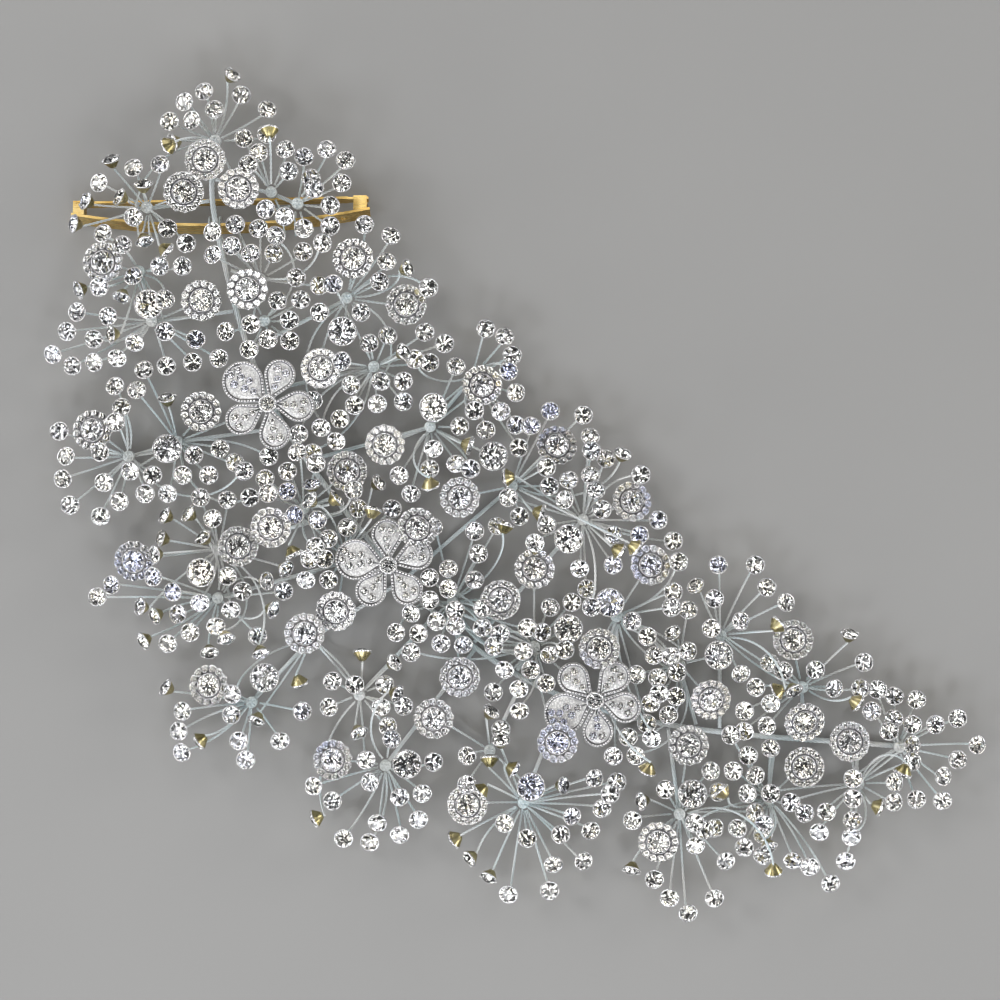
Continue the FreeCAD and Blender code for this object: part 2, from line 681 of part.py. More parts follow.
def put(shape, tip):
    """A copy of a setting or stone, moved from its own frame to its tip."""
    copy = shape.copy()
    turn = FreeCAD.Rotation(Vector(0, 0, 1), tip.normal)
    spin = FreeCAD.Rotation(Vector(0, 0, 1), tip.spin)
    place = FreeCAD.Placement(tip.centre, turn.multiply(spin))
    copy.Placement = place.multiply(shape.Placement)
    return copy


# ---- spine, stems and collars ----

def spine_wire():
    points = [on_sheet(p, SPINE_R) for p in SPINE]
    curve = Part.BSplineCurve()
    curve.interpolate(points)
    path = Part.Wire([curve.toShape()])
    start = curve.value(curve.FirstParameter)
    tangent = curve.tangent(curve.FirstParameter)[0]
    circle = Part.Wire(Part.makeCircle(SPINE_R, start, tangent))
    return path.makePipeShell([circle], True, False), curve


def spine_heading(curve, point):
    """The spine's direction in plan at its nearest point."""
    where = curve.parameter(Vector(point.x, point.y, point.z))
    tangent = curve.tangent(where)[0]
    return curve.value(where), Vector(tangent.x, tangent.y, 0)


def stem_start(curve, source, joint, from_joint):
    """Where a stem begins: just outside the wire that it leaves."""
    foot = on_sheet(source, STEM_R)
    way = Vector(joint[0] - source[0], joint[1] - source[1], 0)
    way.normalize()
    if from_joint:
        return foot + way * (2 * STEM_R + 0.2)
    near, heading = spine_heading(curve, foot)
    heading.normalize()
    sine = abs(heading.cross(way).z)
    cosine = abs(heading.dot(way))
    step = (SPINE_R + 0.1 + STEM_R * cosine) / max(sine, 0.35)
    start = Vector(near.x, near.y, 0) + way * step
    return Vector(start.x, start.y, lift_at(start.x, start.y) + STEM_R)


def stems(curve):
    """(start, end) of every stem, from the spine or from another joint."""
    runs = []
    for branch in BRANCHES.values():
        joints = [joint for joint, _ in branch["joints"]]
        for joint, source in branch["joints"]:
            if source is None:
                continue
            end = on_sheet(joint, STEM_R)
            runs.append((stem_start(curve, source, joint, source in joints), end))
    return runs


def collars():
    solids = []
    for branch in BRANCHES.values():
        for joint, _ in branch["joints"]:
            foot = on_sheet(joint, COLLAR_LOW)
            solids.append(Part.makeCylinder(COLLAR_R, COLLAR_HIGH - COLLAR_LOW, foot))
    return solids


# ---- barrette, in its own frame: X along it, Z outward ----

def bar_height(x):
    half = BAR_LENGTH / 2
    return -BAR_BOW * (x / half) ** 2


def bowed_strip(x_low, x_high, width, thick, drop):
    """A strip that follows the bar's bow, its top face a given drop below the bar's middle line."""
    def arc(offset):
        middle = (x_low + x_high) / 2
        at = [Vector(x, -width / 2, bar_height(x) + offset) for x in (x_low, middle, x_high)]
        return at, Part.Arc(*at).toShape()
    top, top_arc = arc(-drop)
    low, low_arc = arc(-drop - thick)
    wire = Part.Wire([top_arc, Part.makeLine(top[2], low[2]), low_arc, Part.makeLine(low[0], top[0])])
    return Part.Face(wire).extrude(Vector(0, width, 0))


def hinge_x():
    return -BAR_LENGTH / 2 + EYE_R + 0.4


def hinge_z():
    return -BAR_BOW - ARM_DROP + 0.4


def ear(x, side, length):
    """A side plate that hangs from the bar, with its outer face on the bar's edge."""
    inner = side * (BAR_WIDTH / 2 - EAR_THICK / 2)
    top = bar_height(x) - 0.2
    box = Part.makeBox(length, EAR_THICK, top - hinge_z() + 1.3)
    box.translate(Vector(x - length / 2, inner - EAR_THICK / 2, hinge_z() - 1.3))
    return box


def barrette_bar():
    half = BAR_LENGTH / 2
    bar = bowed_strip(-half, half, BAR_WIDTH, BAR_THICK, -BAR_THICK / 2)
    for side in (-1, 1):
        bar = bar.fuse(ear(hinge_x(), side, 3.0))
        bar = bar.fuse(ear(half - 2.6, side, 3.6))
        bump = Part.makeCylinder(0.5, 0.25, Vector(half - 2.6, side * (BAR_WIDTH / 2 - EAR_THICK), hinge_z() - 0.7),
                                 Vector(0, -side, 0))
        bar = bar.fuse(bump)
    hole = Part.makeCylinder(PIN_R + 0.02, BAR_WIDTH + 2, Vector(hinge_x(), -BAR_WIDTH / 2 - 1, hinge_z()),
                             Vector(0, 1, 0))
    bar = bar.cut(hole)
    for x in (-half + 6.0, half - 7.0):
        bar = bar.cut(Part.makeCylinder(0.9, 6.0, Vector(x, 0, bar_height(x) - 3)))
    return bar


def barrette_pin():
    reach = BAR_WIDTH / 2
    return Part.makeCylinder(PIN_R, 2 * reach, Vector(hinge_x(), -reach, hinge_z()), Vector(0, 1, 0))


def barrette_arm():
    """The straight arm: an eye round the pin, a flat blade and a narrow catch tip."""
    eye_width = BAR_WIDTH - 2 * EAR_THICK - 0.7
    eye = Part.makeCylinder(EYE_R, eye_width, Vector(hinge_x(), -eye_width / 2, hinge_z()), Vector(0, 1, 0))
    low = hinge_z() - EYE_R
    tip = BAR_LENGTH / 2 - 0.4
    blade = Part.makeBox(tip - hinge_x(), ARM_WIDTH, ARM_THICK, Vector(hinge_x(), -ARM_WIDTH / 2, low))
    arm = eye.fuse(blade)
    for side in (-1, 1):
        relief = Part.makeBox(5.5, 1.0, 3.0, Vector(tip - 5.5, side * (ARM_WIDTH / 2 + 0.15) - 0.5, low - 1))
        arm = arm.cut(relief)
    bore = Part.makeCylinder(PIN_R + 0.06, BAR_WIDTH, Vector(hinge_x(), -BAR_WIDTH / 2, hinge_z()), Vector(0, 1, 0))
    return arm.cut(bore)


def barrette_spring():
    """The thin tension strip that lies under the bar."""
    half = BAR_LENGTH / 2
    return bowed_strip(-half + 9.5, half - 10.5, 3.2, 0.3, BAR_THICK / 2 + 0.1)


def binding_wires():
    """Wire loops that tie the vine to the bar."""
    loops = []
    major = math.hypot(BAR_WIDTH / 2, BAR_THICK / 2) + 0.42
    for x in (-22.0, -19.0, -2.9, -0.1, 17.0, 20.0):
        centre = Vector(x, 0, bar_height(x))
        loops.append(Part.makeTorus(major, 0.33, centre, Vector(1, 0, 0)))
    return loops


def barrette_placement():
    """Roll the barrette about its length, then set it on the sheet."""
    roll = FreeCAD.Rotation(Vector(1, 0, 0), BAR_ROLL)
    turn = FreeCAD.Rotation(Vector(0, 0, 1), BAR_TURN)
    return FreeCAD.Placement(Vector(BAR_CENTRE[0], BAR_CENTRE[1], 0), turn.multiply(roll))


# ---- assembly ----

def set_barrette(nodes):
    """Place the barrette's parts so the closed arm is just above the resting plane."""
    parts = {
        "barrette_top_bar": [barrette_bar()],
        "barrette_arm": [barrette_arm()],
        "barrette_hinge_pin": [barrette_pin()],
        "barrette_tension_spring": [barrette_spring()],
        "barrette_binding_wires": binding_wires(),
    }
    place = barrette_placement()
    for solids in parts.values():
        for solid in solids:
            solid.Placement = place
    lowest = min(s.BoundBox.ZMin for name in parts for s in parts[name])
    for solids in parts.values():
        for solid in solids:
            solid.translate(Vector(0, 0, ARM_FLOOR - lowest))
    nodes.update(parts)


def lay_out(curve):
    """Place every tip and twig clear of the spine, stems and collars."""
    space = Space()
    length = curve.LastParameter - curve.FirstParameter
    spine_points = [curve.value(curve.FirstParameter + length * k / 600) for k in range(601)]
    space.add_wire(spine_points, SPINE_R, "spine")
    for start, end in stems(curve):
        count = int((end - start).Length / TWIG_SAMPLE) + 1
        space.add_wire([start + (end - start) * (k / count) for k in range(count + 1)], STEM_R, "stem")
    for branch in BRANCHES.values():
        for joint, _ in branch["joints"]:
            base = lift_at(*joint)
            space.add_drum((joint[0], joint[1], COLLAR_R, base + COLLAR_LOW, base + COLLAR_HIGH, "collar"))
    return place_tips(all_tips(), space)


def vine_nodes(tips):
    cup, stone = claw_cup(STONE_R), faceted_stone(STONE_R)
    large_cup, large_stone = claw_cup(SOLITAIRE_R), faceted_stone(SOLITAIRE_R)
    plate, centre_stone = rosette_plate(), faceted_stone(ROSETTE_STONE_R)
    ring = [ring_stone(k) for k in range(RING_COUNT)]
    flower_stone = faceted_stone(FLOWER_STONE_R)
    flower_stone.translate(Vector(0, 0, 1.05 + FIT_GAP))
    nodes = {}
    for tip in tips:
        nodes.setdefault(tip.branch + "_twigs", []).append(bent_wire(*tip.twig, WIRE_R))
        if tip.kind == "flowers":
            nodes.setdefault("flower_castings", []).append(put(flower_casting(tip.extra), tip))
            nodes.setdefault("flower_pave_stones", []).extend(put(s, tip) for s in flower_pave(tip.extra))
            nodes.setdefault("flower_centre_stones", []).append(put(flower_stone, tip))
        elif tip.kind == "rosettes":
            nodes.setdefault("rosette_plates", []).append(put(plate, tip))
            nodes.setdefault("rosette_centre_stones", []).append(put(centre_stone, tip))
            nodes.setdefault("rosette_ring_stones", []).extend(put(s, tip) for s in ring)
        elif tip.kind == "solitaires":
            nodes.setdefault("solitaire_cups", []).append(put(large_cup, tip))
            nodes.setdefault("solitaire_stones", []).append(put(large_stone, tip))
        else:
            nodes.setdefault(tip.branch + "_cups", []).append(put(cup, tip))
            nodes.setdefault(tip.branch + "_stones", []).append(put(stone, tip))
    return nodes


def main():
    spine, curve = spine_wire()
    tips = lay_out(curve)
    nodes = vine_nodes(tips)
    nodes["spine_wire"] = [spine]
    nodes["stem_wires"] = [straight_wire(start, end, STEM_R) for start, end in stems(curve)]
    nodes["joint_collars"] = collars()
    set_barrette(nodes)

    boxes = []
    for name, solids in nodes.items():
        bent = name == "spine_wire" or name.startswith("barrette")
        boxes.extend(solid.optimalBoundingBox() if bent else solid.BoundBox for solid in solids)
    middle_x = (min(b.XMin for b in boxes) + max(b.XMax for b in boxes)) / 2
    middle_y = (min(b.YMin for b in boxes) + max(b.YMax for b in boxes)) / 2
    lowest = min(b.ZMin for b in boxes)

    os.makedirs("parts", exist_ok=True)
    for name, solids in sorted(nodes.items()):
        for solid in solids:
            solid.translate(Vector(-middle_x, -middle_y, -lowest))
        Part.makeCompound(solids).exportStep("parts/" + name + ".step")


main()
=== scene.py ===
"""Looks for the rhinestone hair clip: cut stones, claw cups, twisted wires, flowers and barrette.

Every piece takes its place from the CAD node that it stands for. Lengths are metres and angles
radians, unless a comment says otherwise.
"""

import math
import random

import bpy
import numpy as np
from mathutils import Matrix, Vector


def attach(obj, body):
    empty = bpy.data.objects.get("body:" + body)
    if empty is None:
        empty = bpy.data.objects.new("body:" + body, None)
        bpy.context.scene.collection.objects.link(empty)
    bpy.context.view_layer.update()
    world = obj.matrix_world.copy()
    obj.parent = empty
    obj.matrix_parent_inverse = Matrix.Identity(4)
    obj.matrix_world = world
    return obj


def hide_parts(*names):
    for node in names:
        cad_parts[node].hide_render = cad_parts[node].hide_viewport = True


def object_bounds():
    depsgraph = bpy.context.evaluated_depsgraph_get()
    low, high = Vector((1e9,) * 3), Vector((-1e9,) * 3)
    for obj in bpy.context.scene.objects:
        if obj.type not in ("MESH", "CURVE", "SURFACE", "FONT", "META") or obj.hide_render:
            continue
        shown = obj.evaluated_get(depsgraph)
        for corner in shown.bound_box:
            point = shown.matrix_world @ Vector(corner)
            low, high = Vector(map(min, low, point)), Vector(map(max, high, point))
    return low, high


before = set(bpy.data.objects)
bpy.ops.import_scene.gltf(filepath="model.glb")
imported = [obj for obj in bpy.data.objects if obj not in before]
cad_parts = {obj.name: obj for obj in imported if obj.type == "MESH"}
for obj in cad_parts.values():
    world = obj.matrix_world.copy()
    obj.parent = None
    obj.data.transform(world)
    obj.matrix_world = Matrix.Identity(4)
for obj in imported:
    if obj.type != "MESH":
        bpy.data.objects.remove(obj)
cad_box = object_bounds()

MM = 0.001
SEED = 11

# sizes that the CAD parts share
RING_R = 4.5 * MM           # circle of a rosette's small stones
RING_STONE_R = 0.8 * MM
RING_COUNT = 13
TWIG_R = 0.4 * MM
STEM_R = 0.6 * MM
SPINE_R = 0.8 * MM
LOOP_R = 0.33 * MM

# shape of the cut stones, as shares of the radius
TABLE = 0.58                # corner radius of the table
TOP = 0.41                  # height of the table above the girdle's foot
DEPTH = 0.82                # depth of the point below it

BRANCHES = ("crown", "upper_right", "left_fan", "centre_fan", "right_fan", "left_tier", "lower_left",
            "middle", "inner_right", "right_tier", "low_middle", "bottom_left", "right_low", "tail")


# ---- mesh builder ----

class Builder:
    """Collects points, faces and material indices, then makes one mesh object of them."""

    def __init__(self):
        self.points = []
        self.faces = []
        self.marks = []
        self.smooth = []
        self.count = 0

    def add(self, points, faces, marks=0, smooth=False):
        self.points.append(np.asarray(points, float))
        start = self.count
        self.faces.extend(tuple(start + i for i in face) for face in faces)
        self.marks.extend([marks] * len(faces) if isinstance(marks, int) else marks)
        self.smooth.extend([smooth] * len(faces))
        self.count += len(points)

    def make(self, name, materials):
        mesh = bpy.data.meshes.new(name)
        mesh.from_pydata(np.concatenate(self.points).tolist(), [], self.faces)
        for material in materials:
            mesh.materials.append(material)
        mesh.polygons.foreach_set("material_index", self.marks)
        mesh.polygons.foreach_set("use_smooth", self.smooth)
        mesh.update()
        piece = bpy.data.objects.new(name, mesh)
        bpy.context.scene.collection.objects.link(piece)
        return piece


def settle(piece, slot, *nodes, body="hairpiece"):
    """Let a new piece stand for CAD nodes and ride on their body."""
    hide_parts(*nodes)
    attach(piece, body)


# ---- reading the CAD nodes ----

def solids_of(node):
    """The separate solids of a node: (points, triangles) of each."""
    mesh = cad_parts[node].data
    mesh.calc_loop_triangles()
    points = np.empty(len(mesh.vertices) * 3)
    mesh.vertices.foreach_get("co", points)
    points = points.reshape(-1, 3)
    corners = np.empty(len(mesh.loop_triangles) * 3, np.int64)
    mesh.loop_triangles.foreach_get("vertices", corners)

    # join the points that share a place, then spread the lowest label over each solid
    keys = np.round(points / 1e-6).astype(np.int64)
    _, first, same = np.unique(keys, axis=0, return_index=True, return_inverse=True)
    triangles = same.reshape(-1)[corners].reshape(-1, 3)
    points = points[first]
    label = np.arange(len(points))
    while True:
        lowest = label[triangles].min(axis=1)
        new = label.copy()
        for corner in range(3):
            np.minimum.at(new, triangles[:, corner], lowest)
        new = new[new]
        if (new == label).all():
            break
        label = new

    owner = label[triangles[:, 0]]
    order = np.argsort(owner, kind="stable")
    splits = np.flatnonzero(np.diff(owner[order])) + 1
    solids = []
    for group in np.split(order, splits):
        used, local = np.unique(triangles[group], return_inverse=True)
        solids.append((points[used], local.reshape(-1, 3)))
    return solids


def unit(vector):
    return vector / max(np.linalg.norm(vector), 1e-12)


def face_facts(points, triangles):
    """Each triangle's outward normal and area."""
    a, b, c = (points[triangles[:, k]] for k in range(3))
    cross = np.cross(b - a, c - a)
    size = np.linalg.norm(cross, axis=1)
    return cross / np.maximum(size, 1e-18)[:, None], size / 2


def largest_flat(points, triangles):
    """Corners and outward normal of the largest flat face among some triangles."""
    normals, areas = face_facts(points, triangles)
    offsets = (normals * points[triangles[:, 0]]).sum(axis=1)
    level = np.abs(offsets[:, None] - offsets[None, :]) < 0.02 * MM
    alike = (normals @ normals.T > 0.9995) & level
    totals = alike @ areas
    best = int(np.argmax(totals))
    members = triangles[alike[best]]
    return points[np.unique(members)], normals[best]


class Seat:
    """Where a stone sits: its centre, three axes and radius."""

    def __init__(self, centre, x, z, radius):
        self.centre = centre
        self.z = unit(z)
        self.x = unit(x - self.z * (x @ self.z))
        self.y = np.cross(self.z, self.x)
        self.radius = radius

    def place(self, points):
        """Points in the seat's own frame, in metres, moved to the seat."""
        points = np.asarray(points, float)
        x, y, z = points[:, :1], points[:, 1:2], points[:, 2:]
        return self.centre + x * self.x + y * self.y + z * self.z


def stone_seats(node):
    """Seats of faceted stones, found from their tables."""
    seats = []
    for points, triangles in solids_of(node):
        corners, normal = largest_flat(points, triangles)
        middle = corners.mean(axis=0)
        radius = np.linalg.norm(corners - middle, axis=1).mean() / TABLE
        seats.append(Seat(middle - normal * TOP * radius, corners[0] - middle, normal, radius))
    return seats


def button_seats(node):
    """Seats of flat-backed stones, found from their backs."""
    seats = []
    for points, triangles in solids_of(node):
        corners, normal = largest_flat(points, triangles)
        middle = corners.mean(axis=0)
        radius = np.linalg.norm(corners - middle, axis=1).mean()
        seats.append(Seat(middle, corners[0] - middle, -normal, radius))
    return seats


def upright_seat(x, y):
    """A seat that stands upright at z = 0, for shapes in metres."""
    return Seat(np.array([x, y, 0.0]), np.array([1.0, 0, 0]), np.array([0, 0, 1.0]), 1)


def wire_end(points, triangles, near, radius):
    """Centre and outward normal of a round wire's flat end, next to a point."""
    close = np.linalg.norm(points - near, axis=1) < 2.2 * radius
    candidates = triangles[close[triangles].all(axis=1)]
    corners, normal = largest_flat(points, candidates)
    low, high = corners.min(axis=0), corners.max(axis=0)
    return (low + high) / 2, normal


def wire_ends(points, triangles, radius):
    """Both ends of a wire: (centre, outward normal) twice."""
    middle = points.mean(axis=0)
    first = points[np.argmax(np.linalg.norm(points - middle, axis=1))]
    second = points[np.argmax(np.linalg.norm(points - first, axis=1))]
    return wire_end(points, triangles, first, radius), wire_end(points, triangles, second, radius)


# ---- wires ----

def arc_path(start, heading, end, step):
    """Points and tangents along the arc that leaves start along heading and reaches end."""
    chord = end - start
    length = np.linalg.norm(chord)
    along = chord / length
    side = heading - along * (heading @ along)
    lean = math.atan2(np.linalg.norm(side), heading @ along)
    count = max(3, int(length / step))
    share = np.linspace(0, 1, count + 1)[:, None]
    if lean < 0.01:
        return start + chord * share, np.repeat(along[None], count + 1, 0)
    side = unit(side)
    radius = length / (2 * math.sin(lean))
    angle = (2 * share - 1) * lean
    middle = (start + end) / 2 - side * radius * math.cos(lean)
    points = middle + radius * (along * np.sin(angle) + side * np.cos(angle))
    tangents = along * np.cos(angle) - side * np.sin(angle)
    return points, tangents


def path_frames(tangents):
    """Two normals at each point of a path, carried along without twist."""
    first = np.cross(tangents[0], (0, 0, 1.0))
    if np.linalg.norm(first) < 0.1:
        first = np.cross(tangents[0], (0, 1.0, 0))
    normals = [unit(first)]
    for tangent in tangents[1:]:
        carried = normals[-1] - tangent * (normals[-1] @ tangent)
        normals.append(unit(carried))
    normals = np.array(normals)
    return normals, np.cross(tangents, normals)


def tube(builder, path, normals, binormals, radius, sides):
    """A round tube along a path, with flat ends."""
    angles = 2 * math.pi * np.arange(sides) / sides
    across = normals[:, None] * np.cos(angles)[None, :, None]
    up = binormals[:, None] * np.sin(angles)[None, :, None]
    points = (path[:, None] + radius * (across + up)).reshape(-1, 3)
    count = len(path)
    faces = []
    for i in range(count - 1):
        here, there = i * sides, (i + 1) * sides
        for k in range(sides):
            n = (k + 1) % sides
            faces.append((here + k, here + n, there + n, there + k))
    faces.append(tuple(reversed(range(sides))))
    faces.append(tuple((count - 1) * sides + k for k in range(sides)))
    builder.add(points, faces, 0, True)


def run_along(path):
    """Length of a path from its start to each point."""
    return np.concatenate([[0], np.cumsum(np.linalg.norm(np.diff(path, axis=0), axis=1))])


def headings(path):
    """Unit tangents along a path."""
    tangents = np.gradient(path, axis=0)
    return tangents / np.linalg.norm(tangents, axis=1)[:, None]


def strands(builder, path, tangents, outer, count, pitch, sides, turn=0.0):
    """Thin wires twisted together into a rope of a given outer radius, one turn per pitch."""
    normals, binormals = path_frames(tangents)
    share = math.sin(math.pi / count)
    thin = outer * share / (1 + share)
    ring = outer - thin
    run = run_along(path)
    for k in range(count):
        angle = 2 * math.pi * (run / pitch + k / count) + turn
        out = normals * np.cos(angle)[:, None] + binormals * np.sin(angle)[:, None]
        line = path + ring * out
        way = headings(line)
        up = np.cross(way, out)
        up /= np.linalg.norm(up, axis=1)[:, None]
        tube(builder, line, np.cross(up, way), up, thin, sides)


TWIG_TUCK = 0.6 * MM        # lengthens a twig's start, so that it meets its collar


def twig_piece(branch, material, rng):
    """The twisted pairs of one spray."""
    builder = Builder()
    for points, triangles in solids_of(branch + "_twigs"):
        (start, back), (end, _) = wire_ends(points, triangles, TWIG_R)
        path, tangents = arc_path(start, -back, end, 0.3 * MM)
        path = np.vstack([start - tangents[0] * TWIG_TUCK, path])
        tangents = np.vstack([tangents[0], tangents])
        pitch = rng.uniform(2.0, 2.6) * MM
        strands(builder, path, tangents, TWIG_R, 2, pitch, 5, rng.uniform(0, 6))
    piece = builder.make(branch + "_twisted_twigs", [material])
    settle(piece, "silver_plate", branch + "_twigs")


def stem_piece(material):
    """The stems, each a rope of four wires."""
    builder = Builder()
    for points, triangles in solids_of("stem_wires"):
        (start, back), (end, _) = wire_ends(points, triangles, STEM_R)
        path, tangents = arc_path(start, -back, end, 0.35 * MM)
        strands(builder, path, tangents, STEM_R, 4, 4.2 * MM, 6)
    settle(builder.make("stem_ropes", [material]), "silver_plate", "stem_wires")


def centre_line(points, start, heading, step, reach):
    """Walks along a bent tube's points and returns the middle of the tube at each step.

    Reach is how far from the walk a point still counts as the tube's.
    """
    line = [start]
    here, way = start, unit(heading)
    while True:
        ahead = here + way * step
        offset = points - ahead
        along = offset @ way
        across = np.linalg.norm(offset - along[:, None] * way, axis=1)
        nearby = (np.abs(along) < 0.9 * step) & (across < reach)
        if nearby.sum() >= 6:
            low, high = points[nearby].min(axis=0), points[nearby].max(axis=0)
            middle = (low + high) / 2
            ahead = ahead + 0.5 * ((middle - ahead) - way * ((middle - ahead) @ way))
        elif not (along > 0).any() or (offset[along > 0] ** 2).sum(axis=1).min() > (6 * step) ** 2:
            break
        way = unit(0.6 * way + 0.4 * unit(ahead - here))
        here = ahead
        line.append(here)
    return np.array(line)


def spine_piece(material):
    """The spine: a rope of five wires along the CAD wire's middle."""
    points, triangles = solids_of("spine_wire")[0]
    (start, back), (end, _) = wire_ends(points, triangles, SPINE_R)
    line = centre_line(points, start, -back, 1.0 * MM, 2.2 * SPINE_R)
    nearest = int(np.argmin(np.linalg.norm(line - end, axis=1)))
    line = np.vstack([line[:nearest], end])
    run = run_along(line)
    for _ in range(6):
        line[1:-1] = (line[:-2] + 2 * line[1:-1] + line[2:]) / 4
    even = np.arange(0, run[-1], 0.45 * MM)
    path = np.stack([np.interp(even, run, line[:, k]) for k in range(3)], 1)
    builder = Builder()
    strands(builder, path, headings(path), SPINE_R, 5, 6.0 * MM, 6)
    settle(builder.make("spine_rope", [material]), "silver_plate", "spine_wire")


COLLAR_WIRE_R = 0.24 * MM
TIP_R = 0.42 * MM           # a cut wire end on top of a collar
TIP_RING_R = 0.92 * MM      # circle of the six outer ends


def collar_piece(material, rng):
    """The wrapped knots: close turns of wire round a bundle of cut wire ends."""
    builder = Builder()
    thin = COLLAR_WIRE_R
    for points, _ in solids_of("joint_collars"):
        low, high = points.min(axis=0), points.max(axis=0)
        x, y, _ = (low + high) / 2
        ring = (high[0] - low[0]) / 2 - thin
        turns = (high[2] - low[2]) / (2 * thin) - 1
        angle = np.linspace(0, 2 * math.pi * turns, int(14 * turns))
        rise = np.linspace(low[2] + thin, high[2] - thin, len(angle))
        path = np.stack([x + ring * np.cos(angle), y + ring * np.sin(angle), rise], 1)
        tube(builder, path, *path_frames(headings(path)), thin, 6)
        core = [(0.0, low[2] + thin), (ring, low[2] + thin), (ring, high[2] - 2 * thin),
                (0.0, high[2] - 1.6 * thin)]
        turned(builder, upright_seat(x, y), core, 14)
        for out, bearing in [(0.0, 0.0)] + [(TIP_RING_R, math.pi / 3 * k) for k in range(6)]:
            here = upright_seat(x + out * math.cos(bearing), y + out * math.sin(bearing))
            tip = high[2] + rng.uniform(-0.35, 0.35) * MM
            turned(builder, here, [(TIP_R, high[2] - 0.6 * MM), (TIP_R, tip - 0.12 * MM), (0.3 * MM, tip),
                                   (0.0, tip)], 8)
    settle(builder.make("wrapped_collars", [material]), "silver_plate", "joint_collars")


# ---- turned and beaded shapes ----

def turned(builder, seat, profile, sides, mark=0, smooth=True):
    """A surface of revolution about a seat's Z, from (radius, height) points.

    A zero radius closes to a point.
    """
    angles = 2 * math.pi * np.arange(sides) / sides
    rows, points = [], []
    for radius, height in profile:
        if radius < 1e-9:
            rows.append([len(points)] * sides)
            points.append((0, 0, height))
        else:
            rows.append(list(range(len(points), len(points) + sides)))
            points.extend((radius * math.cos(a), radius * math.sin(a), height) for a in angles)
    faces = []
    for lower, upper in zip(rows, rows[1:]):
        for k in range(sides):
            n = (k + 1) % sides
            corners = [lower[k], lower[n], upper[n], upper[k]]
            corners = [c for i, c in enumerate(corners) if c != corners[i - 1]]
            if len(corners) > 2:
                faces.append(tuple(corners))
    builder.add(seat.place(points), faces, mark, smooth)


BEAD = [(0.0, -1.0), (0.75, -0.66), (1.0, 0.0), (0.75, 0.66), (0.0, 1.0)]


def bead(builder, seat, spot, radius, sides=8):
    """A small round bead at a spot in a seat's frame."""
    x, y, z = spot
    here = Seat(seat.place([(x, y, z)])[0], seat.x, seat.z, radius)
    turned(builder, here, [(r * radius, h * radius) for r, h in BEAD], sides)


def claw(builder, seat, angle, foot, reach, top, inner, thick):
    """A prong that rises outside the stone and folds over its edge."""
    line = np.array([(foot, 0, -0.35 * top), (reach, 0, 0.1 * top), (reach, 0, 0.62 * top),
                     (0.5 * (reach + inner), 0, 0.97 * top), (inner, 0, top)])
    cos, sin = math.cos(angle), math.sin(angle)
    line = line @ np.array([[cos, sin, 0], [-sin, cos, 0], [0, 0, 1]])
    path = seat.place(line)
    tube(builder, path, *path_frames(headings(path)), thick, 6)
    bead(builder, seat, line[-1], 1.25 * thick, 6)


def claw_cup(builder, seat, claws=4):
    """A conical cup, gilt outside (mark 1), with a silver rim and claws over the girdle (mark 0)."""
    r = seat.radius
    depth = DEPTH * r + 0.42 * MM
    turned(builder, seat, [(0.0, -depth), (0.36 * r, -depth), (0.44 * r, -depth + 0.1 * MM),
                           (0.8 * r, -0.48 * r), (r + 0.2 * MM, -0.12 * r)], 20, 1)
    turned(builder, seat, [(r + 0.2 * MM, -0.12 * r), (r + 0.4 * MM, -0.02 * r), (r + 0.42 * MM, 0.05 * r),
                           (r + 0.3 * MM, 0.1 * r), (r + 0.06 * MM, 0.08 * r), (r + 0.03 * MM, 0.0),
                           (0.6 * r, -0.36 * r)], 20)
    for k in range(claws):
        angle = math.pi / 8 + 2 * math.pi * k / claws
        claw(builder, seat, angle, r + 0.1 * MM, r + 0.2 * MM, 0.3 * r, 0.86 * r, 0.19 * MM)


# ---- stones ----

def circle(radius, height, sides, turn=0.0):
    angles = 2 * math.pi * np.arange(sides) / sides + turn
    return np.stack([radius * np.cos(angles), radius * np.sin(angles), np.full(sides, height)], 1)


def brilliant():
    """A round brilliant of radius 1: points, faces, and a mark of 1 on each foiled face."""
    half = math.pi / 8
    slope = (TOP - 0.07) / (1 - TABLE)
    crown = TOP - slope * (0.77 * math.cos(half) - TABLE)
    points = np.concatenate([
        circle(TABLE, TOP, 8), circle(0.77, crown, 8, half), circle(1.0, 0.07, 16), circle(1.0, 0.0, 16),
        circle(0.3, -DEPTH + DEPTH * 0.3 * math.cos(half), 8, half), [[0, 0, -DEPTH]],
    ])
    table, star, girdle, foot, lower, culet = 0, 8, 16, 32, 48, 56      # first point of each ring
    glass = [tuple(range(8))]
    foil = []
    for k in range(8):
        n, b = (k + 1) % 8, (k - 1) % 8
        glass.append((table + k, star + k, table + n))
        glass.append((table + k, star + b, girdle + 2 * k, star + k))
        glass.append((star + k, girdle + 2 * k, girdle + 2 * k + 1))
        glass.append((star + k, girdle + 2 * k + 1, girdle + 2 * n))
        foil.append((culet, lower + k, foot + 2 * k, lower + b))
        foil.append((lower + k, foot + 2 * k + 1, foot + 2 * k))
        foil.append((lower + k, foot + 2 * n, foot + 2 * k + 1))
    for k in range(16):
        n = (k + 1) % 16
        glass.append((girdle + k, foot + k, foot + n, girdle + n))
    return points, glass + foil, [0] * len(glass) + [1] * len(foil)


